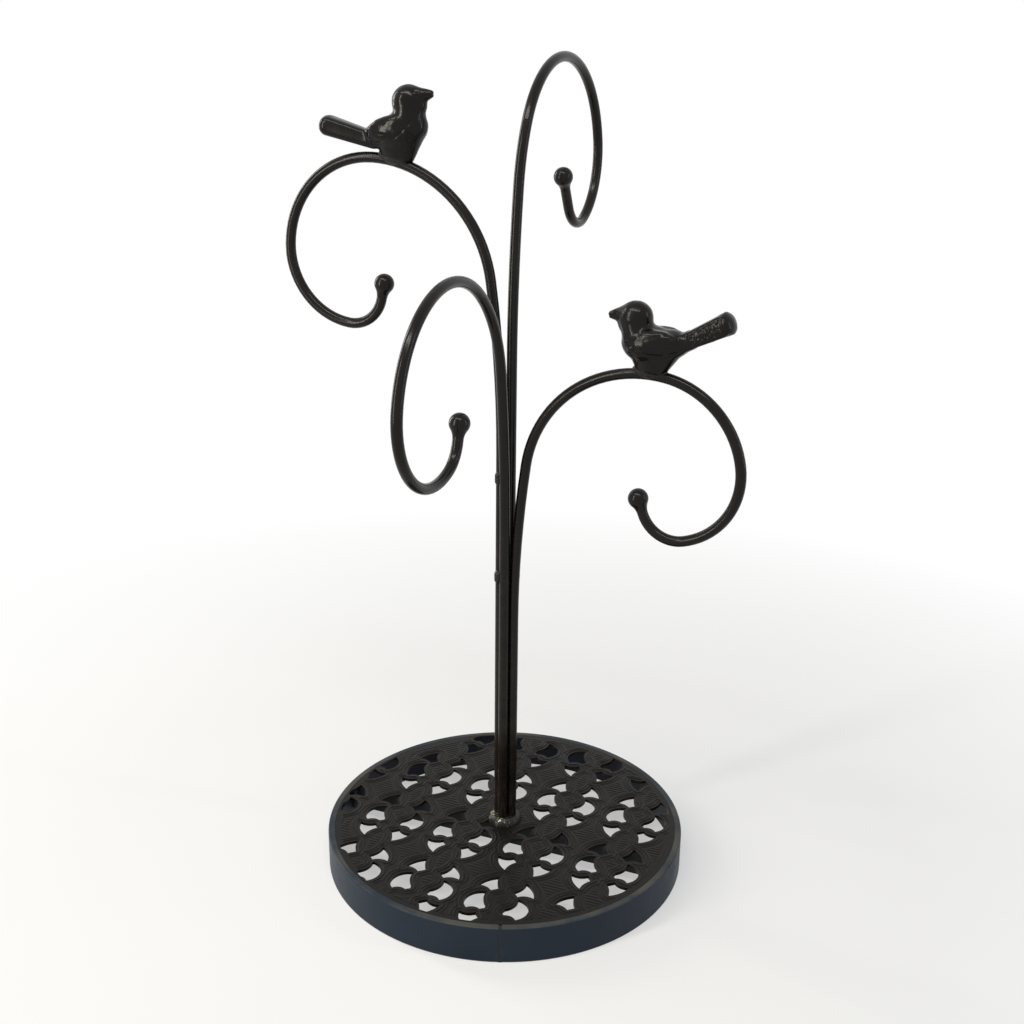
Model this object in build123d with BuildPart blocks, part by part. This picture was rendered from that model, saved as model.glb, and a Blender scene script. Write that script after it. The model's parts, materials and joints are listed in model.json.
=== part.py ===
from build123d import *
import os
from math import asin, cos, degrees, radians, sin, sqrt

# Mug tree: four bent iron rods stand in a tight bundle on a pierced round base.
# Each rod leaves the bundle at its own height and curls into a loop that ends in a
# ball-tipped hook. Two cast birds sit on the left and right loops.
# Frame: +Z up, origin at the centre of the base on the table. The back arm points to
# +Y, the left arm to -X, the front arm to -Y and the right arm close to +X.
# All lengths are in millimetres and all angles in degrees.

os.makedirs("parts", exist_ok=True)

# --- Driving dimensions: base -------------------------------------------------
base_diameter = 185.6
band_height = 19.05
band_thickness = 3.2
band_edge_round = 0.8
plate_thickness = 1.6
plate_clearance = 0.1
cross_bar_thickness = 3.2
cross_bar_height = 12.0
cross_bar_clearance = 0.2
seam_azimuth = -68.7
seam_gap = 1.6
seam_setback = 0.3
seam_bead_width = 4.5
seam_bead_proud = 0.6

# --- Driving dimensions: pierced pattern of the plate ---------------------------
# The pattern is a lattice of upright ribs. Beside each rib stand a fan-shaped opening
# and, above and below it, a bell-shaped one. Points are (distance from the rib's
# centre line, height above the centre of the fan).
cell_width = 39.4
cell_height = 48.3
rib_offset = -14.4
fan_row_offset = -21.9
opening_edge_margin = 3.0
plate_edge_web = 1.2
fan_top = (8.2, 7.8)
fan_bulge = (16.0, 0.4)
fan_bottom = (12.6, -7.6)
fan_scallop = (9.2, -5.6)
fan_stem_low = (6.3, -6.2)
fan_stem_tip = (4.2, -4.6)
fan_stem_high = (5.0, -1.6)
fan_notch = (7.6, 1.6)
bell_apex = (7.2, 21.0)
bell_shoulder = (12.4, 16.4)
bell_outer = (14.6, 11.0)
bell_scallop = (10.8, 11.3)
bell_foot = (7.0, 9.3)
bell_inner = (3.6, 12.3)
bell_waist = (6.1, 15.6)

# --- Driving dimensions: rods and arms ------------------------------------------
rod_diameter = 5.0
rod_gap = 0.08
lead_radius = 581.3
lead_angle = 8.1
side_radius = 34.6
hook_radius = 16.5

right_bend_height = 134.4
right_shoulder_radius = 59.9
right_crown_radius = 44.0
right_tip_straight = 0.5
back_bend_height = 263.3
back_shoulder_radius = 85.9
back_crown_radius = 51.3
back_tip_straight = 10.6
left_bend_height = 220.7
left_shoulder_radius = 61.9
left_crown_radius = 44.6
left_tip_straight = 0.5
front_bend_height = 179.7
front_shoulder_radius = 61.6
front_crown_radius = 51.0
front_tip_straight = 0.5

# name: (azimuth in the bundle, turn of the arm from it), (height at which the rod starts
# to bend, shoulder radius, crown radius, straight length at the tip), (angles turned in
# the shoulder, crown, side and hook)
arms = {
    "right": (
        (0, -4.2),
        (right_bend_height, right_shoulder_radius, right_crown_radius, right_tip_straight),
        (89.9, 72.2, 84.1, 85.3),
    ),
    "back": (
        (90, -0.9),
        (back_bend_height, back_shoulder_radius, back_crown_radius, back_tip_straight),
        (19.6, 140.1, 76.0, 89.0),
    ),
    "left": (
        (180, 0.5),
        (left_bend_height, left_shoulder_radius, left_crown_radius, left_tip_straight),
        (80.5, 88.4, 87.1, 83.8),
    ),
    "front": (
        (270, 0),
        (front_bend_height, front_shoulder_radius, front_crown_radius, front_tip_straight),
        (45.2, 118.2, 120.1, 54.2),
    ),
}

ball_diameter = 9.6
ball_neck_length = 7.0
ball_neck_radius = 3.9
ball_neck_waist = 2.85

# --- Driving dimensions: welds ----------------------------------------------------
foot_weld_radius = 8.8
foot_weld_height = 3.6
foot_weld_top_radius = 6.6
tack_weld_length = 7.0
tack_weld_width = 4.2
tack_weld_sink = 0.4
# name: (azimuth of the groove between two rods, height)
stem_tacks = {
    "stem_tack_weld_front_low": (225, 158.0),
    "stem_tack_weld_front_high": (225, 209.0),
    "stem_tack_weld_back_low": (45, 158.0),
    "stem_tack_weld_back_high": (135, 209.0),
}
plate_weld_leg = 2.2
plate_weld_length = 9.0
plate_weld_azimuths = (12, 58, 98, 150, 196, 236, 262, 318)
bar_weld_leg = 2.4

# --- Driving dimensions: bird casting ----------------------------------------------
# Points are (forward, up) in the bird's own upright plane, from the top of the rod.
bird_body_radius = 9.8
bird_body_centre = (0.8, 13.3)
bird_breast_reach = 11.0
bird_rump_reach = 22.6
bird_body_pitch = -5.0
bird_head_radius = 7.7
bird_head_centre = (5.6, 23.9)
bird_neck_radius = 7.3
bird_neck_root = (2.4, 13.3)
bird_beak_root_radius = 3.9
bird_beak_root = (4.2, 0.3)
bird_beak_tip_radius = 0.7
bird_beak_length = 8.6
bird_beak_pitch = -4.0
bird_wing_length = 25.4
bird_wing_radius = 6.2
bird_wing_centre = (-3.8, 14.1)
bird_wing_pitch = -8.0
bird_wing_spread = 4.5
bird_tail_root = (-12.7, 13.7)
bird_tail_length = 29.1
bird_tail_rise = 30.0
bird_tail_root_width = 9.0
bird_tail_end_width = 13.2
bird_tail_end_round = 5.2
bird_tail_thickness = 5.3
bird_tail_edge_round = 1.9
bird_leg_length = 12.2
bird_leg_width = 5.6
bird_leg_height = 8.5
bird_leg_sink = 1.4
bird_weld_length = 17.0
bird_weld_radius = 3.6
bird_weld_sink = 1.0

left_bird_shift = (9.9, -0.7)
right_bird_shift = (3.5, -1.9)

# name: (arm, angle before the loop's top at which it stands, pitch, shift forward and up)
birds = {
    "left_bird": ("left", 11.9, 18.0, left_bird_shift),
    "right_bird": ("right", -1.1, 2.1, right_bird_shift),
}

# --- Derived values --------------------------------------------------------------
base_radius = base_diameter / 2
band_inner_radius = base_radius - band_thickness
plate_radius = band_inner_radius - plate_clearance
plate_bottom = band_height - plate_thickness
rod_radius = rod_diameter / 2
rod_spacing = rod_diameter + rod_gap
rod_offset = rod_spacing / sqrt(2)
highest_bend = max(right_bend_height, back_bend_height, left_bend_height, front_bend_height)
rod_straight = highest_bend - band_height
ball_radius = ball_diameter / 2
seam_plane = Plane.XY.rotated((0, 0, seam_azimuth))


def finish(node, label):
    """Label a finished sub-part and write it to its own STEP file."""
    node.part.label = label
    export_step(node.part, f"parts/{label}.step")


def radial(azimuth):
    """Unit vector that points outward from the stem at an azimuth."""
    return Vector(cos(radians(azimuth)), sin(radians(azimuth)), 0)


def arm_plane(azimuth, turn):
    """Upright plane along a rod: local x points out along its arm, local y points up."""
    outward = radial(azimuth + turn)
    normal = outward.cross(Vector(0, 0, 1))
    return Plane(origin=radial(azimuth) * rod_offset, x_dir=outward, z_dir=normal)


def along_plane(point, tangent, normal):
    """Plane at a point of a rod: local y runs along the rod, local z is the normal."""
    return Plane(origin=point, x_dir=tangent.cross(normal), z_dir=normal)


# --- Base plate ------------------------------------------------------------------
def fan_outline(side):
    """Fan-shaped opening beside a rib; side is +1 or -1."""
    def at(point):
        return (side * point[0], point[1])

    with BuildLine() as outline:
        ThreePointArc(at(fan_top), at(fan_bulge), at(fan_bottom))
        ThreePointArc(at(fan_bottom), at(fan_scallop), at(fan_stem_low))
        Polyline(at(fan_stem_low), at(fan_stem_tip), at(fan_stem_high))
        ThreePointArc(at(fan_stem_high), at(fan_notch), at(fan_top))
    return outline.line


def bell_outline(side, up):
    """Bell-shaped opening above (up = +1) or below (up = -1) a fan."""
    def at(point):
        return (side * point[0], up * point[1])

    with BuildLine() as outline:
        ThreePointArc(at(bell_apex), at(bell_shoulder), at(bell_outer))
        ThreePointArc(at(bell_outer), at(bell_scallop), at(bell_foot))
        Line(at(bell_foot), at(bell_inner))
        ThreePointArc(at(bell_inner), at(bell_waist), at(bell_apex))
    return outline.line


motif = [make_face(fan_outline(side)) for side in (1, -1)]
motif += [make_face(bell_outline(side, up)) for side in (1, -1) for up in (1, -1)]

cells_each_way = int(base_radius / min(cell_width, cell_height)) + 2
lattice = []
for column in range(-cells_each_way, cells_each_way + 1):
    for row in range(-cells_each_way, cells_each_way + 1):
        place = Pos(rib_offset + column * cell_width, fan_row_offset + row * cell_height)
        lattice += [place * opening for opening in motif]
openings = [o for o in lattice if o.center().length < plate_radius - opening_edge_margin]

with BuildSketch() as piercing:
    add(openings)
    Circle(plate_radius - plate_edge_web, mode=Mode.INTERSECT)

with BuildPart() as base_plate:
    with BuildSketch(Plane.XY.offset(plate_bottom)):
        Circle(plate_radius)
        add(piercing.sketch, mode=Mode.SUBTRACT)
    extrude(amount=plate_thickness)
finish(base_plate, "base_plate")

# --- Rim band: a flat strip rolled into a ring, with its butt joint welded ----------
with BuildPart() as rim_band:
    with BuildSketch():
        Circle(base_radius)
        Circle(band_inner_radius, mode=Mode.SUBTRACT)
    extrude(amount=band_height)
    outer_edges = rim_band.edges().filter_by(GeomType.CIRCLE).group_by(lambda e: e.radius)[-1]
    fillet(outer_edges, radius=band_edge_round)
    with BuildSketch(seam_plane):
        with Locations((base_radius, 0)):
            Rectangle(4 * band_thickness, seam_gap)
    extrude(amount=band_height, mode=Mode.SUBTRACT)
finish(rim_band, "rim_band")

with BuildPart() as rim_seam_weld:
    with BuildSketch(seam_plane):
        Circle(base_radius - seam_setback)
        Circle(band_inner_radius, mode=Mode.SUBTRACT)
        with Locations((base_radius, 0)):
            Rectangle(4 * band_thickness, seam_gap, mode=Mode.INTERSECT)
    extrude(amount=band_height - seam_setback)
    with BuildSketch(seam_plane):
        Circle(band_inner_radius)
        Circle(band_inner_radius - seam_bead_proud, mode=Mode.SUBTRACT)
        with Locations((base_radius, 0)):
            Rectangle(4 * band_thickness, seam_bead_width, mode=Mode.INTERSECT)
    extrude(amount=plate_bottom)
finish(rim_seam_weld, "rim_seam_weld")

# --- Cross bar on edge under the plate, and its end welds -----------------------------
bar_half_length = sqrt(band_inner_radius**2 - (cross_bar_thickness / 2) ** 2) - cross_bar_clearance
bar_bottom = plate_bottom - cross_bar_height

with BuildPart() as cross_bar:
    with BuildSketch(Plane.XY.offset(bar_bottom)):
        Rectangle(2 * bar_half_length, cross_bar_thickness)
    extrude(amount=cross_bar_height)
finish(cross_bar, "cross_bar")

with BuildPart() as cross_bar_welds:
    with BuildSketch(Plane.XY.offset(bar_bottom)):
        with GridLocations(2 * bar_half_length, cross_bar_thickness, 2, 2):
            Circle(bar_weld_leg)
        Circle(band_inner_radius, mode=Mode.INTERSECT)
        Rectangle(base_diameter, cross_bar_thickness, mode=Mode.SUBTRACT)
    extrude(amount=cross_bar_height)
finish(cross_bar_welds, "cross_bar_welds")

# --- Tack welds in the corner between the plate's underside and the band --------------
with BuildPart() as plate_tack_welds:
    for azimuth in plate_weld_azimuths:
        sweep_turn = degrees(plate_weld_length / band_inner_radius)
        start = Plane.XZ.rotated((0, 0, azimuth - sweep_turn / 2))
        with BuildSketch(start):
            with BuildLine():
                corner = (band_inner_radius, plate_bottom)
                low = (band_inner_radius, plate_bottom - plate_weld_leg)
                inward = (band_inner_radius - plate_weld_leg, plate_bottom)
                Polyline(low, corner, inward)
                RadiusArc(inward, low, plate_weld_leg)
            make_face()
        revolve(axis=Axis.Z, revolution_arc=sweep_turn)
finish(plate_tack_welds, "plate_tack_welds")

# --- Rods: four vertical rods, each curling into one arm ------------------------------
rods = {}
shoulder_arcs = {}
tip_planes = {}


def make_rod(name, direction, lengths, angles):
    """One rod from the plate up its side of the bundle and round to its hook's end."""
    bend_height, shoulder_radius, crown_radius, tip_straight = lengths
    shoulder_angle, crown_angle, side_angle, hook_angle = angles
    upright = arm_plane(*direction)
    with BuildPart() as rod:
        with BuildLine(upright) as path:
            post = Line((0, band_height), (0, bend_height))
            lead = JernArc(post @ 1, post % 1, lead_radius, -lead_angle)
            shoulder = JernArc(lead @ 1, lead % 1, shoulder_radius, -shoulder_angle)
            crown = JernArc(shoulder @ 1, shoulder % 1, crown_radius, -crown_angle)
            side = JernArc(crown @ 1, crown % 1, side_radius, -side_angle)
            hook = JernArc(side @ 1, side % 1, hook_radius, -hook_angle)
            Line(hook @ 1, hook @ 1 + (hook % 1) * tip_straight)
        with BuildSketch(Plane(origin=path.line @ 0, z_dir=path.line % 0)):
            Circle(rod_radius)
        sweep(path=path.line)
    rods[name] = rod
    shoulder_arcs[name] = shoulder
    tip_planes[name] = along_plane(path.line @ 1, path.line % 1, upright.z_dir)
    finish(rod, f"{name}_arm_rod")


for name, values in arms.items():
    make_rod(name, *values)


def make_ball_tip(name):
    """Ball with a drop-shaped neck, welded on the end of a hook."""
    tip = tip_planes[name]
    neck_end = ball_neck_length - sqrt(ball_radius**2 - ball_neck_radius**2)
    ball_centre = ball_neck_length
    with BuildPart() as ball_tip:
        with BuildSketch(tip):
            with BuildLine():
                Line((0, 0), (rod_radius, 0))
                ThreePointArc(
                    (rod_radius, 0), (ball_neck_waist, neck_end / 2), (ball_neck_radius, neck_end)
                )
                ThreePointArc(
                    (ball_neck_radius, neck_end),
                    (ball_radius, ball_centre),
                    (0, ball_centre + ball_radius),
                )
                Line((0, ball_centre + ball_radius), (0, 0))
            make_face()
        revolve(axis=Axis(tip.origin, tip.y_dir))
    finish(ball_tip, f"{name}_ball_tip")


for name in arms:
    make_ball_tip(name)

# --- Welds of the rod bundle ------------------------------------------------------------
with BuildPart() as bundle_core:
    with BuildSketch(Plane.XY.offset(band_height)):
        Rectangle(rod_spacing, rod_spacing, rotation=45)
    extrude(amount=rod_straight)


def clear_of_bundle():
    """Cut the rods and the space between them out of a weld."""
    add(bundle_core.part, mode=Mode.SUBTRACT)
    for rod in rods.values():
        add(rod.part, mode=Mode.SUBTRACT)


with BuildPart() as stem_foot_weld:
    with BuildSketch(Plane.XZ):
        with BuildLine():
            low = (foot_weld_radius, band_height)
            high = (foot_weld_top_radius, band_height + foot_weld_height)
            Polyline(low, (0, band_height), (0, band_height + foot_weld_height), high)
            RadiusArc(high, low, 1.6 * foot_weld_height)
        make_face()
    revolve(axis=Axis.Z)
    clear_of_bundle()
finish(stem_foot_weld, "stem_foot_weld")


def make_stem_tack(label, azimuth, height):
    """Short bead in the groove between two neighbouring rods."""
    outward = radial(azimuth)
    centre = outward * (rod_spacing / 2 + rod_radius - tack_weld_sink)
    upward = Vector(0, 0, 1)
    bead = Plane(origin=centre + upward * height, x_dir=upward, z_dir=upward.cross(outward))
    with BuildPart() as tack:
        with BuildSketch(bead):
            SlotOverall(tack_weld_length, tack_weld_width)
            Rectangle(
                tack_weld_length,
                tack_weld_width,
                align=(Align.CENTER, Align.MIN),
                mode=Mode.INTERSECT,
            )
        revolve(axis=Axis(bead.origin, bead.x_dir))
        clear_of_bundle()
    finish(tack, label)


for label, (azimuth, height) in stem_tacks.items():
    make_stem_tack(label, azimuth, height)

# --- Birds -------------------------------------------------------------------------------
def placed(plane, point, turn):
    """Plane moved to a point of another plane and turned within it."""
    return Plane(plane.location * Location((point[0], point[1], 0), (0, 0, turn)))


def make_bird(label, arm, before_top, pitch, shift):
    """Bird casting on top of an arm's loop, and the weld that holds its leg to the rod."""
    azimuth, turn = arms[arm][0]
    perch_arc = shoulder_arcs[arm]
    outward = radial(azimuth + turn)
    sideways = outward.cross(Vector(0, 0, 1)) * -1
    off_rod = Vector(0, 0, 1) * cos(radians(before_top)) - outward * sin(radians(before_top))
    top_of_rod = perch_arc.arc_center + off_rod * (perch_arc.radius + rod_radius)
    level = Plane(origin=top_of_rod, x_dir=outward * -1, z_dir=sideways)
    perch = Plane(origin=top_of_rod, x_dir=off_rod.cross(sideways), z_dir=sideways)
    bird = placed(level, shift, pitch)
    body = placed(bird, bird_body_centre, bird_body_pitch)
    head = placed(bird, bird_head_centre, bird_beak_pitch)
    wing = placed(bird, bird_wing_centre, bird_wing_pitch)
    tail = placed(bird, bird_tail_root, 180 - bird_tail_rise)
    tail_flat = Plane(origin=tail.origin, x_dir=tail.x_dir, z_dir=tail.y_dir)
    neck_line = Vector(*bird_head_centre) - Vector(*bird_neck_root)
    neck_turn = degrees(asin(-neck_line.X / neck_line.length))
    neck = placed(bird, bird_neck_root, neck_turn)

    with BuildPart() as casting:
        with BuildSketch(tail_flat) as paddle:
            with BuildLine():
                Polyline(
                    (0, -bird_tail_root_width / 2),
                    (bird_tail_length, -bird_tail_end_width / 2),
                    (bird_tail_length, bird_tail_end_width / 2),
                    (0, bird_tail_root_width / 2),
                    close=True,
                )
            make_face()
            end_corners = paddle.vertices().group_by(Axis.X)[-1]
            fillet(end_corners, bird_tail_end_round)
        extrude(amount=bird_tail_thickness / 2, both=True)
        flat_faces = casting.faces().filter_by(tail_flat)
        fillet(flat_faces.edges(), bird_tail_edge_round)
        with BuildSketch(Plane(origin=perch.origin - perch.y_dir * bird_leg_sink, z_dir=perch.y_dir,
                               x_dir=perch.x_dir)):
            Ellipse(bird_leg_length / 2, bird_leg_width / 2)
        extrude(amount=bird_leg_height + bird_leg_sink)
        with BuildSketch(body):
            with BuildLine():
                EllipticalCenterArc((0, 0), bird_breast_reach, bird_body_radius, 0, arc_size=90)
                EllipticalCenterArc((0, 0), bird_rump_reach, bird_body_radius, 90, arc_size=90)
                Line((-bird_rump_reach, 0), (bird_breast_reach, 0))
            make_face()
        revolve(axis=Axis(body.origin, body.x_dir))
        for side in (-1, 1):
            with BuildSketch(wing.offset(side * bird_wing_spread)):
                with BuildLine():
                    EllipticalCenterArc((0, 0), bird_wing_length / 2, bird_wing_radius, 0, arc_size=180)
                    Line((-bird_wing_length / 2, 0), (bird_wing_length / 2, 0))
                make_face()
            revolve(axis=Axis(wing.offset(side * bird_wing_spread).origin, wing.x_dir))
        with Locations(neck.location):
            Cylinder(
                bird_neck_radius,
                neck_line.length,
                rotation=(-90, 0, 0),
                align=(Align.CENTER, Align.CENTER, Align.MIN),
            )
        with Locations(head.location):
            Sphere(bird_head_radius, rotation=(0, 0, 90))
        with Locations(placed(head, bird_beak_root, 0).location):
            Cone(
                bird_beak_root_radius,
                bird_beak_tip_radius,
                bird_beak_length,
                rotation=(0, 90, 0),
                align=(Align.CENTER, Align.CENTER, Align.MIN),
            )
        add(rods[arm].part, mode=Mode.SUBTRACT)
    finish(casting, label)

    with BuildPart() as weld:
        with BuildSketch(placed(perch, (0, -bird_weld_sink), 0)):
            with BuildLine():
                EllipticalCenterArc((0, 0), bird_weld_length / 2, bird_weld_radius, 0, arc_size=180)
                Line((-bird_weld_length / 2, 0), (bird_weld_length / 2, 0))
            make_face()
        revolve(axis=Axis(placed(perch, (0, -bird_weld_sink), 0).origin, perch.x_dir))
        add(rods[arm].part, mode=Mode.SUBTRACT)
        add(casting.part, mode=Mode.SUBTRACT)
    finish(weld, f"{label}_weld")


for label, values in birds.items():
    make_bird(label, *values)
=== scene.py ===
import json
from math import atan2, cos, degrees, pi, radians, sin

import bmesh
import bpy
import numpy as np
from mathutils import Matrix, Vector, noise as solid_noise
from mathutils.bvhtree import BVHTree


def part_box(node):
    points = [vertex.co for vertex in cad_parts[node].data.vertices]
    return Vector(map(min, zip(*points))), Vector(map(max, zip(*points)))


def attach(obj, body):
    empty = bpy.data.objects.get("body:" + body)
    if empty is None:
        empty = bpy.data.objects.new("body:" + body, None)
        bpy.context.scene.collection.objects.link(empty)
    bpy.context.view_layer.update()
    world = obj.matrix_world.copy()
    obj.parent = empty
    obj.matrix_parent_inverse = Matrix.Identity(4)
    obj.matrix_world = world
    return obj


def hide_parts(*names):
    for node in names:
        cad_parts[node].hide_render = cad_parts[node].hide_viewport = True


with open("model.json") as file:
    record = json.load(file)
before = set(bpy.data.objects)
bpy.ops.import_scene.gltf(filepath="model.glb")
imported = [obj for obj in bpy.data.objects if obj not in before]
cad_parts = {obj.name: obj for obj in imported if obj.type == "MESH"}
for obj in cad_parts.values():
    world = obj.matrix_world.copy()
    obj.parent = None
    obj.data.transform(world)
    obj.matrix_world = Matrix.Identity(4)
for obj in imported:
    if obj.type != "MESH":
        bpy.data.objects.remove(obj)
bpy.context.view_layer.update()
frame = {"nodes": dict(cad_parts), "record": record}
MM = 0.001
WHITE = (1, 1, 1, 1)

# --- Camera of the photograph's view, in metres and degrees -----------------------------
VIEW_AZIMUTH = 22.4
VIEW_DROP = 19.59
VIEW_YAW = 0.2
VIEW_ROLL = 0.577
EYE_DISTANCE = 0.6376
AIM_HEIGHT = 0.1913
LENS_MM = 46.09
SENSOR_MM = 36.0
NEAR_CLIP = 0.01


# --- Node helpers -----------------------------------------------------------------------
NOISE_ROUGHNESS = 0.55


def new_material(name):
    """Empty node material with a Principled shader on its output."""
    material = bpy.data.materials.new(name)
    material.use_nodes = True
    tree = material.node_tree
    tree.nodes.clear()
    output = tree.nodes.new("ShaderNodeOutputMaterial")
    shader = tree.nodes.new("ShaderNodeBsdfPrincipled")
    tree.links.new(shader.outputs["BSDF"], output.inputs["Surface"])
    return material, tree, shader


def feed(tree, socket, value):
    """Link a socket from another socket, or set it to a plain value."""
    if isinstance(value, bpy.types.NodeSocket):
        tree.links.new(value, socket)
    else:
        socket.default_value = value


def place(tree):
    """Object coordinates: metres in the part's frame."""
    return tree.nodes.new("ShaderNodeTexCoord").outputs["Object"]


def place_axes(tree):
    """Object coordinates as separate X, Y and Z."""
    node = tree.nodes.new("ShaderNodeSeparateXYZ")
    tree.links.new(place(tree), node.inputs["Vector"])
    return node.outputs["X"], node.outputs["Y"], node.outputs["Z"]


def noise(tree, scale, detail=4.0):
    """Noise value at the place, with a scale in waves per metre."""
    node = tree.nodes.new("ShaderNodeTexNoise")
    tree.links.new(place(tree), node.inputs["Vector"])
    node.inputs["Scale"].default_value = scale
    node.inputs["Detail"].default_value = detail
    node.inputs["Roughness"].default_value = NOISE_ROUGHNESS
    return node.outputs["Fac"]


def spread(tree, value, low, high, to_low=0.0, to_high=1.0):
    """Clamped linear remap."""
    node = tree.nodes.new("ShaderNodeMapRange")
    feed(tree, node.inputs["Value"], value)
    node.inputs["From Min"].default_value = low
    node.inputs["From Max"].default_value = high
    node.inputs["To Min"].default_value = to_low
    node.inputs["To Max"].default_value = to_high
    return node.outputs["Result"]


def calculate(tree, operation, first, second):
    """Result of a math node."""
    node = tree.nodes.new("ShaderNodeMath")
    node.operation = operation
    feed(tree, node.inputs[0], first)
    feed(tree, node.inputs[1], second)
    return node.outputs["Value"]


def times(tree, first, *others):
    """Product of two or more values."""
    for other in others:
        first = calculate(tree, "MULTIPLY", first, other)
    return first


def mix_color(tree, factor, first, second):
    """First colour at factor 0, second colour at factor 1."""
    node = tree.nodes.new("ShaderNodeMix")
    node.data_type = "RGBA"
    feed(tree, node.inputs["Factor"], factor)
    feed(tree, node.inputs["A"], first)
    feed(tree, node.inputs["B"], second)
    return node.outputs["Result"]


def bump(tree, height, strength, distance, under=None):
    """Normal that a height gives, on top of another normal if there is one."""
    node = tree.nodes.new("ShaderNodeBump")
    feed(tree, node.inputs["Height"], height)
    node.inputs["Strength"].default_value = strength
    node.inputs["Distance"].default_value = distance
    if under is not None:
        tree.links.new(under, node.inputs["Normal"])
    return node.outputs["Normal"]


def glow(tree, kind, color, strength):
    """Emission or background node of a plain colour."""
    node = tree.nodes.new(kind)
    node.inputs["Color"].default_value = color
    node.inputs["Strength"].default_value = strength
    return node.outputs[0]


def background_rays(tree):
    """1 for the rays that see the white background: camera, glossy and transmission."""
    path = tree.nodes.new("ShaderNodeLightPath")
    shown = calculate(
        tree, "MAXIMUM", path.outputs["Is Camera Ray"], path.outputs["Is Glossy Ray"])
    return calculate(tree, "MAXIMUM", shown, path.outputs["Is Transmission Ray"])


# --- Paints: lengths in metres, linear colours ------------------------------------------
# Scale of the noise that breaks up the worn edges, and how far it shifts them
WEAR_GRAIN = 160.0
WEAR_SHIFT = 0.03
# Share of the wear colour on an edge that is fully worn
WEAR_SHARE = 0.7
# Scale and detail of the patches in colour and gloss
PATCH_SCALE = 34.0
PATCH_DETAIL = 5.0
# Parts of the patches' range that change the colour and the gloss
PATCH_TINT = (0.35, 0.7)
PATCH_GLOSS = (0.3, 0.72)
# Part of a noise's range that is used elsewhere
NOISE_RANGE = (0.3, 0.7)
# Brush grain: scales as multiples of the paint's grain, depths, and the fine grain's share
# of the patchiness in the gloss
FINE_GRAIN = 12.0
FINE_DETAIL = 3.0
FINE_GLOSS = (-0.25, 0.3)
FINE_DEPTH = 0.0002
FINE_SHARE = 0.5
COARSE_GRAIN = 2.2
COARSE_DEPTH = 0.0006
# Bright specks at the stem's foot: squared radius and height over which they stop, and the
# side that they are on, as a direction with the distances along it over which they start
FOOT_RADIUS_SQUARED = (0.0001, 0.0003)
FOOT_HEIGHT = (0.024, 0.030)
FOOT_SIDE = (-0.8, -0.6)
FOOT_SIDE_START = (-0.001, 0.004)
# Two noises that make the specks, each with scale, detail and range
FLECK_SMALL = (620.0, 3.0, 0.50, 0.58)
FLECK_GROUPS = (190.0, 2.0, 0.47, 0.56)
# Squared radius over which the welds turn to the band's colour, towards the rim
RIM_WELD_RADIUS_SQUARED = (0.0060, 0.0070)
RIM_WELD_COLOUR = (0.0090, 0.0160, 0.0270, 1)
# Painted highlight on the band's top edge, a pale line for the light on its corner: distances
# below the top, and the noise that breaks it up
RIM_HIGHLIGHT_DEPTHS = (0.0006, 0.0002)
RIM_HIGHLIGHT_BREAK_SCALE = 28.0
RIM_HIGHLIGHT_BREAKS = (0.42, 0.62, 0.05, 1.0)


def edge_wear(tree, low, high):
    """White on convex edges, broken up by noise."""
    pointy = tree.nodes.new("ShaderNodeNewGeometry").outputs["Pointiness"]
    grain = spread(tree, noise(tree, WEAR_GRAIN), *NOISE_RANGE, -WEAR_SHIFT, WEAR_SHIFT)
    return spread(tree, calculate(tree, "ADD", pointy, grain), low, high)


def weld_masks(tree):
    """Where the bright specks on the stem's foot are, and which welds are at the rim."""
    x, y, z = place_axes(tree)
    across = calculate(tree, "ADD", times(tree, x, x), times(tree, y, y))
    side = calculate(tree, "ADD", times(tree, x, FOOT_SIDE[0]), times(tree, y, FOOT_SIDE[1]))
    flecks = [spread(tree, noise(tree, scale, detail), low, high)
              for scale, detail, low, high in (FLECK_SMALL, FLECK_GROUPS)]
    specks = times(
        tree, spread(tree, across, *FOOT_RADIUS_SQUARED, 1.0, 0.0),
        spread(tree, z, *FOOT_HEIGHT, 1.0, 0.0), spread(tree, side, *FOOT_SIDE_START),
        times(tree, *flecks))
    return specks, spread(tree, across, *RIM_WELD_RADIUS_SQUARED)


def painted_rim_highlight(tree, top):
    """1 on the painted highlight, a broken pale line along the band's top edge."""
    line = spread(tree, place_axes(tree)[2], top - RIM_HIGHLIGHT_DEPTHS[0], top - RIM_HIGHLIGHT_DEPTHS[1])
    return times(tree, line, spread(tree, noise(tree, RIM_HIGHLIGHT_BREAK_SCALE), *RIM_HIGHLIGHT_BREAKS))


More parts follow.
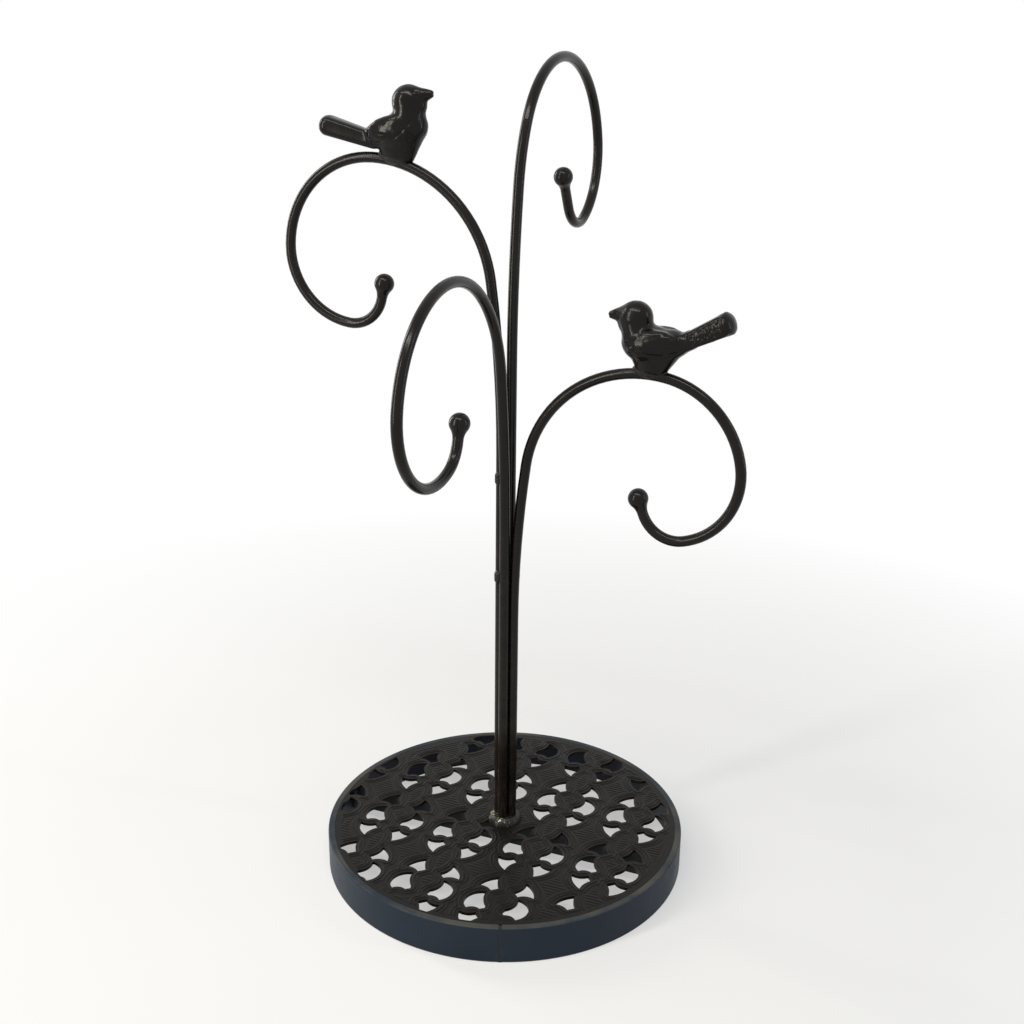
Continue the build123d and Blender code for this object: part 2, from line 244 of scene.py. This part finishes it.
def iron_paint(name, colour, tint, wear_colour, gloss, relief, shine, wear=(0.54, 0.62),
               grain=90.0, patchy=0.16, bare=None, rim=None):
    """Black paint on iron: patchy gloss, brush grain, rubbed edges.

    bare is the colour of the specks on the foot weld, and rim is the height and the colour
    of the painted highlight, a pale line on the band's top edge.
    """
    material, tree, shader = new_material(name)
    patch = noise(tree, PATCH_SCALE, PATCH_DETAIL)
    fine = noise(tree, grain * FINE_GRAIN, FINE_DETAIL)
    base = mix_color(tree, spread(tree, patch, *PATCH_TINT), colour, tint)
    worn = times(tree, edge_wear(tree, *wear), WEAR_SHARE)
    surface = mix_color(tree, worn, base, wear_colour)
    if bare:
        specks, at_rim = weld_masks(tree)
        surface = mix_color(tree, at_rim, surface, RIM_WELD_COLOUR)
        surface = mix_color(tree, specks, surface, bare)
        feed(tree, shader.inputs["Metallic"], specks)
    # painted highlight: a pale broken line along the band's top edge, for the light on its
    # corner
    if rim:
        surface = mix_color(tree, painted_rim_highlight(tree, rim[0]), surface, rim[1])
    feed(tree, shader.inputs["Base Color"], surface)
    rough = spread(tree, patch, *PATCH_GLOSS, gloss, gloss + patchy)
    uneven = spread(
        tree, fine, *NOISE_RANGE, FINE_GLOSS[0] * patchy, FINE_GLOSS[1] * patchy)
    feed(tree, shader.inputs["Roughness"], calculate(tree, "ADD", rough, uneven))
    shader.inputs["Specular IOR Level"].default_value = shine
    coarse = bump(tree, noise(tree, grain * COARSE_GRAIN), relief, COARSE_DEPTH)
    feed(tree, shader.inputs["Normal"],
         bump(tree, fine, relief * FINE_SHARE, FINE_DEPTH, coarse))
    return material


PAINTS = {
    "rod_paint": iron_paint(
        "rod_paint", colour=(0.0044, 0.0035, 0.0029, 1), tint=(0.0085, 0.0063, 0.0048, 1),
        wear_colour=(0.030, 0.020, 0.013, 1), gloss=0.17, relief=0.006, shine=0.18,
        patchy=0.05),
    "base_paint": iron_paint(
        "base_paint", colour=(0.0080, 0.0160, 0.0290, 1), tint=(0.012, 0.0205, 0.034, 1),
        wear_colour=(0.045, 0.050, 0.045, 1), gloss=0.40, relief=0.12, shine=0.18,
        # painted highlight on the band's top edge: its height and its pale colour
        wear=(0.60, 0.72), rim=(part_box("rim_band")[1][2], (0.062, 0.063, 0.055, 1))),
    "plate_paint": iron_paint(
        "plate_paint", colour=(0.0042, 0.0038, 0.0034, 1), tint=(0.0080, 0.0064, 0.0052, 1),
        wear_colour=(0.014, 0.010, 0.0075, 1), gloss=0.30, relief=0.16, shine=0.12,
        wear=(0.56, 0.70)),
    "weld_paint": iron_paint(
        "weld_paint", colour=(0.0060, 0.0055, 0.0048, 1), tint=(0.012, 0.010, 0.008, 1),
        wear_colour=(0.030, 0.026, 0.019, 1), gloss=0.20, relief=0.7, shine=0.25,
        grain=260.0, bare=(0.48, 0.45, 0.33, 1)),
    "bird_paint": iron_paint(
        "bird_paint", colour=(0.0030, 0.0027, 0.0024, 1), tint=(0.0062, 0.0045, 0.0033, 1),
        wear_colour=(0.020, 0.012, 0.007, 1), gloss=0.17, relief=0.012, shine=0.17,
        patchy=0.06),
}


def paint_nodes():
    """Give every CAD node the paint of its slot in the record."""
    slots = {part["node"]: part["material_slot"] for part in frame["record"]["subparts"]}
    for name, node in frame["nodes"].items():
        node.data.materials.clear()
        node.data.materials.append(PAINTS[slots[name]])
        for polygon in node.data.polygons:
            polygon.material_index = 0


# --- Sculpted birds, in millimetres: x forward, y to its left, z up -----------------------
BIRD_VOXEL = 0.36
BIRD_BLEND = 60
BLEND_STEP = 0.5
# Heading and pitch of each bird, in degrees
BIRD_STANCES = {"left_bird": (0.5, 18.0), "right_bird": (175.8, 2.1)}
# (centre, radii, pitch) of the lumps that make up the casting
BIRD_LUMPS = (
    ((4.7, 0, 23.8), (7.8, 7.4, 7.8), 0),
    ((7.0, 0, 20.6), (6.2, 5.2, 4.8), 0),
    ((3.2, 0, 17.6), (7.6, 7.8, 8.0), 0),
    ((-2.3, 0, 12.8), (13.0, 9.4, 8.8), 0),
    ((-11.0, 0, 14.0), (10.6, 7.0, 6.8), 8),
    ((-5.0, 5.6, 14.6), (12.6, 3.9, 6.2), 8),
    ((-5.0, -5.6, 14.6), (12.6, 3.9, 6.2), 8),
)
# (start, end, half width and half height at the start, the same at the end) of the bars
BIRD_TAILS = {
    "left_bird": ((-15.5, 0, 11.4), (-41.2, 0, 27.6), (4.4, 3.7), (6.0, 4.6)),
    "right_bird": ((-15.5, 0, 14.0), (-39.6, 0, 28.2), (4.4, 4.0), (6.4, 5.4)),
}
BIRD_LEGS = {
    "left_bird": ((-9.4, 0, 1.2), (-3.2, 0, 13.2), (4.2, 8.2), (9.3, 12.2)),
    "right_bird": ((-3.6, 0, 0.0), (-4.8, 0, 12.2), (4.2, 6.8), (9.0, 13.6)),
}
# Rounded end of the tail: radius, and how much it swells along and across the tail
TAIL_ROUND = 3.2
TAIL_SWELL = (1.15, 1.08)
# How far behind the tail's start its own relief begins, and the length over which the
# casting's unevenness fades out on a plain tail
TAIL_FROM = 3.0
PLAIN_FADE = 6.0
# Depth of the panel in a tail and height of its scales; the left bird's tail is plain
TAIL_PANELS = {"right_bird": (0.40, 0.90)}
PANEL_START = 7.0
PANEL_END = 2.0
PANEL_RIM = 1.3
PANEL_SLOPE = 0.9
# A point is on the tail's side when its normal has more than this along y
SIDE_FACE = 0.6
# Scales to a millimetre along and across the tail, and where one ends, in its own size
SCALE_RATE = (0.62, 0.85)
SCALE_REACH = 0.55
# (waves to a millimetre, height) of the casting's unevenness
CAST_WAVES = ((0.35, 0.10), (1.1, 0.03))
# Only surfaces further out than this carry the wing, the shoulder and the cheek
FLANK = 4.0
# Groove under the wing: its ends, height at the middle, slope and bend, then depth and width
WING_ENDS = (-17.0, 6.5)
WING_MIDDLE = (-5.0, 9.8)
WING_SLOPE = 0.14
WING_BEND = 0.026
WING_GROOVE = (0.34, 1.3)
# Feather lines on the wing
FEATHER_FROM = -3.0
FEATHER_FADE = 5.0
FEATHER_GAP = 0.6
FEATHER_DEPTH = 0.10
FEATHER_PITCH = 2.6
FEATHER_SLANT = 0.35
# (x, z, height, width) of the swellings at the shoulder and the cheek
SWELLINGS = ((3.6, 12.0, 0.45, 2.6), (9.0, 20.2, 0.30, 1.5))
EYE = (11.4, 3.9, 25.6)
EYE_RADIUS = 0.9
EYE_HEIGHT = 0.38
# Ring round the eye: radius as a multiple of the eye's, depth and width
EYE_RING = (1.5, 0.18, 0.7)
BEAK_ROOT = (9.0, 0, 24.7)
BEAK_TIP = (17.6, 0, 23.5)
BEAK_ROOT_RADIUS = 5.1
BEAK_TIP_RADIUS = 1.4
BEAK_SHORT = 0.6
# The blending lets go of the beak from here on, over this length, down to this share
BEAK_BEND = 13.0
BEAK_FADE = 2.5
BEAK_GIVE = 0.10
# Line between the beak's halves: start, slope, drop below the tip, depth and width
GAPE = (12.5, 0.10, 0.4, 0.22, 0.6)


def bump_shape(distance, width):
    """1 at the middle of a band, falling smoothly to 0 at its edge."""
    t = min(abs(distance) / width, 1.0)
    return (1 - t * t) ** 2


def tail_relief(point, normal, tail, panel_sizes):
    """Scaly panel inside a smooth rim along both sides and the top of the tail."""
    start, end, near, far = tail
    run = Vector(end) - Vector(start)
    axis = run.normalized()
    offset = Vector(point) - Vector(start)
    along = offset.dot(axis)
    rise = offset.dot(Vector((-axis.z, 0, axis.x)))
    part = min(max(along / run.length, 0.0), 1.0)
    deep = near[1] + (far[1] - near[1]) * part
    wide = near[0] + (far[0] - near[0]) * part
    beside = abs(normal.y) > SIDE_FACE
    edge = deep - abs(rise) if beside else wide - abs(point[1])
    inside = min(edge - PANEL_RIM, along - PANEL_START, run.length - PANEL_END - along)
    panel = min(max(inside / PANEL_SLOPE, 0.0), 1.0)
    cell = Vector((along * SCALE_RATE[0], rise * SCALE_RATE[1], point[1] * SCALE_RATE[1]))
    scales = solid_noise.voronoi(cell)[0][0]
    sunk, scaly = panel_sizes
    return panel * (beside * scaly * max(SCALE_REACH - scales, 0.0) - sunk)


def wing_relief(x, z):
    """Groove along the wing's lower edge, and feather lines above it."""
    behind = x - WING_MIDDLE[0]
    wing_low = WING_MIDDLE[1] + WING_SLOPE * behind + WING_BEND * behind ** 2
    height = -WING_GROOVE[0] * bump_shape(z - wing_low, WING_GROOVE[1])
    if z > wing_low + FEATHER_GAP and x < FEATHER_FROM:
        fade = min((FEATHER_FROM - x) / FEATHER_FADE, 1.0)
        wave = 0.5 + 0.5 * cos(2 * pi * (z + FEATHER_SLANT * x) / FEATHER_PITCH)
        height -= fade * FEATHER_DEPTH * wave
    return height


def bird_relief(point, normal, tail, panel_sizes):
    """Height in millimetres that the casting's detail adds at a point."""
    x, y, z = point
    side = abs(y)
    height = sum(
        rise * solid_noise.noise(Vector(point) * rate) for rate, rise in CAST_WAVES)
    if panel_sizes is None:
        height *= 1.0 - min(max((tail[0][0] - x) / PLAIN_FADE, 0.0), 1.0)
    if x < tail[0][0] - TAIL_FROM:
        if panel_sizes is None:
            return height
        return height + tail_relief(point, normal, tail, panel_sizes)
    if side > FLANK:
        if WING_ENDS[0] < x < WING_ENDS[1]:
            height += wing_relief(x, z)
        for middle_x, middle_z, rise, width in SWELLINGS:
            away = ((x - middle_x) ** 2 + (z - middle_z) ** 2) ** 0.5
            height += rise * bump_shape(away, width)
    eye = ((x - EYE[0]) ** 2 + (side - EYE[1]) ** 2 + (z - EYE[2]) ** 2) ** 0.5
    ring, depth, width = EYE_RING
    height -= depth * bump_shape(eye - EYE_RADIUS * ring, width)
    height += EYE_HEIGHT * bump_shape(eye, EYE_RADIUS)
    start, slope, drop, depth, width = GAPE
    if x > start:
        line = BEAK_TIP[2] + (BEAK_TIP[0] - x) * slope - drop
        height -= depth * bump_shape(z - line, width)
    return height


def lump(mesh, centre, radii, pitch):
    """Ellipsoid."""
    shape = Matrix.Translation(centre) @ Matrix.Rotation(radians(pitch), 4, "Y")
    shape = shape @ Matrix.Diagonal((*radii, 1.0))
    bmesh.ops.create_uvsphere(mesh, u_segments=48, v_segments=32, radius=1.0, matrix=shape)


def bar(mesh, start, end, start_size, end_size, squared=False):
    """Tapered oval or rounded square bar between two points, closed by flat ends."""
    run = Vector(end) - Vector(start)
    frame_of_bar = run.to_track_quat("Z", "X").to_matrix().to_4x4()
    made = bmesh.ops.create_cone(
        mesh, cap_ends=True, segments=48, radius1=1.0, radius2=1.0, depth=run.length)
    for vertex in made["verts"]:
        along = vertex.co.z / run.length + 0.5
        wide = start_size[0] + (end_size[0] - start_size[0]) * along
        high = start_size[1] + (end_size[1] - start_size[1]) * along
        swell = (vertex.co.x ** 4 + vertex.co.y ** 4) ** -0.25 if squared else 1.0
        flat = Vector((vertex.co.x * high * swell, vertex.co.y * wide * swell,
                       along * run.length))
        vertex.co = Vector(start) + frame_of_bar @ flat


def link_mesh(name, mesh):
    """Object made of a bmesh, in the scene."""
    data = bpy.data.meshes.new(name)
    mesh.to_mesh(data)
    mesh.free()
    thing = bpy.data.objects.new(name, data)
    bpy.context.scene.collection.objects.link(thing)
    return thing


def blend_joins(data, rounds):
    """Relax the fused mesh so that its forms run into each other, and keep the beak."""
    count = len(data.vertices)
    ends = np.empty(len(data.edges) * 2, dtype=np.int32)
    data.edges.foreach_get("vertices", ends)
    ends = ends.reshape(-1, 2)
    here = np.concatenate((ends[:, 0], ends[:, 1]))
    there = np.concatenate((ends[:, 1], ends[:, 0]))
    degree = np.maximum(np.bincount(here, minlength=count), 1)
    places = np.empty(count * 3, dtype=np.float32)
    data.vertices.foreach_get("co", places)
    places = places.reshape(-1, 3).astype(float)
    free = np.clip((BEAK_BEND + BEAK_FADE - places[:, 0]) / BEAK_FADE, BEAK_GIVE, 1.0)
    give = BLEND_STEP * free[:, None]
    for _ in range(rounds):
        mean = np.stack([np.bincount(here, places[there, axis], count) for axis in range(3)], 1)
        places += (mean / degree[:, None] - places) * give
    data.vertices.foreach_set("co", places.astype(np.float32).ravel())
    data.update()


def sculpt_bird(name):
    """Fuse the lumps, blend the joins and carve the feathers."""
    mesh = bmesh.new()
    for centre, radii, pitch in BIRD_LUMPS:
        lump(mesh, centre, radii, pitch)
    start, end, near, far = BIRD_TAILS[name]
    run = Vector(end) - Vector(start)
    cap = Vector(end) - run.normalized() * TAIL_ROUND
    bar(mesh, start, cap, near, far, squared=True)
    pitch = degrees(atan2(run.z, -run.x))
    lump(mesh, cap, (TAIL_ROUND * TAIL_SWELL[0], far[0] * TAIL_SWELL[1], far[1] * TAIL_SWELL[1]),
         pitch)
    bar(mesh, *BIRD_LEGS[name])
    run = Vector(BEAK_TIP) - Vector(BEAK_ROOT)
    shape = Matrix.Translation(Vector(BEAK_ROOT) + run / 2)
    shape = shape @ run.to_track_quat("Z", "Y").to_matrix().to_4x4()
    bmesh.ops.create_cone(
        mesh, cap_ends=True, segments=40, radius1=BEAK_ROOT_RADIUS, radius2=BEAK_TIP_RADIUS,
        depth=run.length, matrix=shape)
    rough = link_mesh("bird_rough", mesh)
    remesh = rough.modifiers.new("fuse", "REMESH")
    remesh.mode = "VOXEL"
    remesh.voxel_size = BIRD_VOXEL * 1.0
    depsgraph = bpy.context.evaluated_depsgraph_get()
    fused = bpy.data.meshes.new_from_object(rough.evaluated_get(depsgraph))
    bpy.data.objects.remove(rough)
    blend_joins(fused, BIRD_BLEND // (1))
    for vertex, normal in [(v, v.normal.copy()) for v in fused.vertices]:
        vertex.co += normal * bird_relief(
            tuple(vertex.co), normal, BIRD_TAILS[name], TAIL_PANELS.get(name))
    fused.polygons.foreach_set("use_smooth", [True] * len(fused.polygons))
    return fused


def perch_bird(name, heading, pitch):
    """Stand a sculpted bird where its casting stands, beak tip and crown in the same place."""
    bird = bpy.data.objects.new(f"{name}_sculpted", sculpt_bird(name))
    bpy.context.scene.collection.objects.link(bird)
    turn = Matrix.Rotation(radians(heading), 4, "Z") @ Matrix.Rotation(radians(-pitch), 4, "Y")
    bird.data.transform(turn @ Matrix.Diagonal((MM, MM, MM, 1.0)))
    casting = frame["nodes"][name]
    cast = np.array([casting.matrix_world @ v.co for v in casting.data.vertices])
    made = np.array([v.co for v in bird.data.vertices])
    ahead = np.array((cos(radians(heading)), sin(radians(heading)), 0.0))
    aside = np.array((-ahead[1], ahead[0], 0.0))
    shift = ahead * (np.max(cast @ ahead) - np.max(made @ ahead) - BEAK_SHORT * MM)
    shift += aside * (np.ptp(cast @ aside) / 2 + np.min(cast @ aside))
    shift -= aside * (np.ptp(made @ aside) / 2 + np.min(made @ aside))
    shift[2] = np.max(cast[:, 2]) - np.max(made[:, 2])
    bird.data.transform(Matrix.Translation(shift))
    bird.data.materials.clear()
    bird.data.materials.append(PAINTS["bird_paint"])
    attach(bird, "root")
    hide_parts(name)


# --- Raised pattern on the plate, in millimetres ------------------------------------------
RELIEF_STEP = 0.5
RELIEF_SINK = 0.04
# (distance from the openings, half width, height) of the ridges round them
CONTOURS = ((2.1, 0.75, 0.50), (3.7, 0.65, 0.40))
HATCH_START = 5.0
HATCH_PITCH = 2.1
HATCH_HEIGHT = 0.30
# Plain border round the openings, and inside the plate's edge
RELIEF_EDGE = 0.5
PLATE_BORDER = 2.6
# Width over which the pattern rises at its borders, and how far inside the plate's edge the
# sheet itself stops
RELIEF_SLOPE = 0.8
SHEET_MARGIN = 1.0
# Farthest distance from an opening that is counted, and rounds of smoothing
RELIEF_REACH = 9.0
RELIEF_SOFTEN = 2
# A ray has hit the plate's top when it stops less than this below it
TOP_DEPTH = 0.1


def shrink(mask, corners):
    """Mask without the cells that touch its outside."""
    padded = np.pad(mask, 1)
    kept = mask & padded[2:, 1:-1] & padded[:-2, 1:-1] & padded[1:-1, 2:] & padded[1:-1, :-2]
    if corners:
        kept = kept & padded[2:, 2:] & padded[:-2, :-2] & padded[2:, :-2] & padded[:-2, 2:]
    return kept


def soften(field, rounds):
    """Weighted average of each cell and the four beside it, round after round."""
    for _ in range(rounds):
        padded = np.pad(field, 1, mode="edge")
        field = (padded[2:, 1:-1] + padded[:-2, 1:-1] + padded[1:-1, 2:] + padded[1:-1, :-2]
                 + 4 * padded[1:-1, 1:-1]) / 8
    return field


def ridge(distance, middle, half_width):
    """1 on a line at a distance from the openings, falling smoothly to 0 beside it."""
    t = np.clip(np.abs(distance - middle) / half_width, 0, 1)
    return (1 - t * t) ** 2


def plate_relief():
    """Contour ridges round the plate's openings and fine hatching between them."""
    low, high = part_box("base_plate")
    plate = frame["nodes"]["base_plate"]
    points = [plate.matrix_world @ v.co for v in plate.data.vertices]
    solid = BVHTree.FromPolygons(points, [tuple(p.vertices) for p in plate.data.polygons])
    step = RELIEF_STEP * 1.0 * MM
    xs = np.arange(low[0], high[0] + step, step)
    ys = np.arange(low[1], high[1] + step, step)
    down = Vector((0, 0, -1))
    mask = np.zeros((len(xs), len(ys)), bool)
    for i, x in enumerate(xs):
        for j, y in enumerate(ys):
            hit = solid.ray_cast(Vector((x, y, high[2] + MM)), down)[0]
            mask[i, j] = hit is not None and hit.z > high[2] - TOP_DEPTH * MM
    radius = np.hypot(*np.meshgrid(xs, ys, indexing="ij")) / MM
    outer = (high[0] - low[0]) / 2 / MM
    layer = mask | (radius > outer)
    distance = np.zeros(mask.shape)
    while layer.any() and distance.max() < RELIEF_REACH:
        distance += layer * step / MM
        layer = shrink(layer, corners=int(distance.max() * MM / step) % 2 == 0)
    distance = soften(distance, RELIEF_SOFTEN)
    height = sum(rise * ridge(distance, middle, half) for middle, half, rise in CONTOURS)
    hatch = 0.5 + 0.5 * np.cos(2 * pi * ys[None, :] / MM / HATCH_PITCH)
    height = height + HATCH_HEIGHT * hatch * np.clip(distance - HATCH_START, 0, 1)
    height *= np.clip((distance - RELIEF_EDGE) / RELIEF_SLOPE, 0, 1)
    height *= np.clip((outer - PLATE_BORDER - radius) / RELIEF_SLOPE, 0, 1)
    kept = shrink(mask, corners=True) & (radius < outer - SHEET_MARGIN)
    mesh = bmesh.new()
    index = {}
    for i, j in zip(*np.nonzero(kept)):
        z = high[2] + (height[i, j] - RELIEF_SINK) * MM
        index[i, j] = mesh.verts.new((xs[i], ys[j], z))
    for i, j in index:
        corners = [(i, j), (i + 1, j), (i + 1, j + 1), (i, j + 1)]
        if all(corner in index for corner in corners):
            mesh.faces.new([index[corner] for corner in corners])
    sheet = link_mesh("base_plate_relief", mesh)
    sheet.data.polygons.foreach_set("use_smooth", [True] * len(sheet.data.polygons))
    sheet.data.materials.append(PAINTS["plate_paint"])
    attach(sheet, "root")


# --- Stage, in metres and degrees -------------------------------------------------------
LAMP_TARGET = (0.0, 0.0, 0.2)
# Name: turn from the camera's azimuth, elevation, distance, width, height, watts, colour
LAMPS = {
    "key_left": (-58, 18, 1.2, 0.12, 1.1, 8.0, (1.0, 0.94, 0.80)),
    "rim_left": (-122, 16, 1.2, 0.20, 0.9, 6.0, (1.0, 0.98, 0.90)),
    "rim_right": (74, 16, 1.3, 0.07, 0.9, 2.2, (0.74, 0.86, 1.0)),
    "top": (-25, 64, 1.2, 1.3, 0.12, 8.0, (1.0, 0.97, 0.90)),
}
WORLD_COLOUR = (0.96, 0.98, 1, 1)
WORLD_STRENGTH = 0.22
FLOOR_RADIUS = 4.0
FLOOR_TONES = (0.88, 0.91)
FLOOR_GRAIN = 3.0
FLOOR_DETAIL = 2.0
FLOOR_ROUGHNESS = 0.9
FLOOR_SHINE = 0.1
# Distances between which the floor turns plain white, and its share of white before them
FLOOR_FADE_START = 0.22
FLOOR_FADE_END = 0.55
FLOOR_NEAR_WHITE = 0.45


def aim(thing, position, target):
    """Put a lamp at a position and point it at a target."""
    thing.location = position
    turn = (Vector(target) - Vector(position)).to_track_quat("-Z", "Y")
    thing.rotation_euler = turn.to_euler()


def photo_direction(azimuth, elevation):
    """Unit vector from the object towards a place round it."""
    a, e = radians(azimuth), radians(elevation)
    return Vector((sin(a) * cos(e), -cos(a) * cos(e), sin(e)))


def soft_light(name, azimuth, elevation, distance, width, height, power, colour):
    """Strip lamp that the camera doesn't see."""
    light = bpy.data.lights.new(name, "AREA")
    light.shape = "RECTANGLE"
    light.size = width
    light.size_y = height
    light.energy = power
    light.color = colour
    lamp = bpy.data.objects.new(name, light)
    bpy.context.scene.collection.objects.link(lamp)
    target = Vector(LAMP_TARGET)
    aim(lamp, target + photo_direction(azimuth, elevation) * distance, target)
    lamp.visible_camera = False


def add_lights():
    """The lamps, placed round the camera's azimuth."""
    for name, (turn, *settings) in LAMPS.items():
        soft_light(name, VIEW_AZIMUTH + turn, *settings)


def add_floor():
    """Pale floor that keeps the shadow and runs out into the white background."""
    bpy.ops.mesh.primitive_circle_add(
        vertices=96, radius=FLOOR_RADIUS, fill_type="NGON", location=(0, 0, 0))
    floor = bpy.context.object
    floor.name = "studio_floor"
    material, tree, shader = new_material("studio_floor")
    tone = spread(tree, noise(tree, FLOOR_GRAIN, FLOOR_DETAIL), *NOISE_RANGE, *FLOOR_TONES)
    colour = tree.nodes.new("ShaderNodeCombineColor")
    for channel in ("Red", "Green", "Blue"):
        feed(tree, colour.inputs[channel], tone)
    feed(tree, shader.inputs["Base Color"], colour.outputs["Color"])
    shader.inputs["Roughness"].default_value = FLOOR_ROUGHNESS
    shader.inputs["Specular IOR Level"].default_value = FLOOR_SHINE
    length = tree.nodes.new("ShaderNodeVectorMath")
    length.operation = "LENGTH"
    feed(tree, length.inputs[0], place(tree))
    far = spread(tree, length.outputs["Value"], FLOOR_FADE_START, FLOOR_FADE_END,
                 FLOOR_NEAR_WHITE, 1.0)
    choice = tree.nodes.new("ShaderNodeMixShader")
    feed(tree, choice.inputs["Fac"], times(tree, far, background_rays(tree)))
    tree.links.new(shader.outputs["BSDF"], choice.inputs[1])
    tree.links.new(glow(tree, "ShaderNodeEmission", WHITE, 1.0), choice.inputs[2])
    output = next(node for node in tree.nodes if node.type == "OUTPUT_MATERIAL")
    tree.links.new(choice.outputs["Shader"], output.inputs["Surface"])
    floor.data.materials.append(material)


def add_world():
    """White to the camera and in reflections, a plain soft light for everything else."""
    world = bpy.data.worlds.new("studio")
    bpy.context.scene.world = world
    world.use_nodes = True
    tree = world.node_tree
    tree.nodes.clear()
    output = tree.nodes.new("ShaderNodeOutputWorld")
    choice = tree.nodes.new("ShaderNodeMixShader")
    tree.links.new(background_rays(tree), choice.inputs["Fac"])
    light = glow(tree, "ShaderNodeBackground", WORLD_COLOUR, WORLD_STRENGTH)
    tree.links.new(light, choice.inputs[1])
    tree.links.new(glow(tree, "ShaderNodeBackground", WHITE, 1.0), choice.inputs[2])
    tree.links.new(choice.outputs["Shader"], output.inputs["Surface"])


def add_camera():
    """Camera where the photograph was taken from."""
    drop, yaw, roll = radians(VIEW_DROP), radians(VIEW_YAW), radians(VIEW_ROLL)
    turn = Matrix.Rotation(radians(VIEW_AZIMUTH), 3, "Z")
    forward = turn @ Vector((sin(yaw) * cos(drop), cos(yaw) * cos(drop), -sin(drop)))
    eye = turn @ Vector((0, -EYE_DISTANCE * cos(drop), AIM_HEIGHT + EYE_DISTANCE * sin(drop)))
    level = forward.cross(Vector((0, 0, 1))).normalized()
    upright = level.cross(forward)
    right = level * cos(roll) + upright * sin(roll)
    up = upright * cos(roll) - level * sin(roll)
    camera = bpy.data.cameras.new("camera")
    camera.lens = LENS_MM
    camera.sensor_width = SENSOR_MM
    camera.clip_start = NEAR_CLIP
    camera_object = bpy.data.objects.new("camera", camera)
    bpy.context.scene.collection.objects.link(camera_object)
    basis = Matrix((right, up, -forward)).transposed().to_4x4()
    camera_object.matrix_world = Matrix.Translation(eye) @ basis
    bpy.context.scene.camera = camera_object


bpy.context.scene.view_settings.view_transform = "Standard"
paint_nodes()
for bird_name, (bird_heading, bird_pitch) in BIRD_STANCES.items():
    perch_bird(bird_name, bird_heading, bird_pitch)
plate_relief()
add_world()
add_lights()
add_floor()
add_camera()
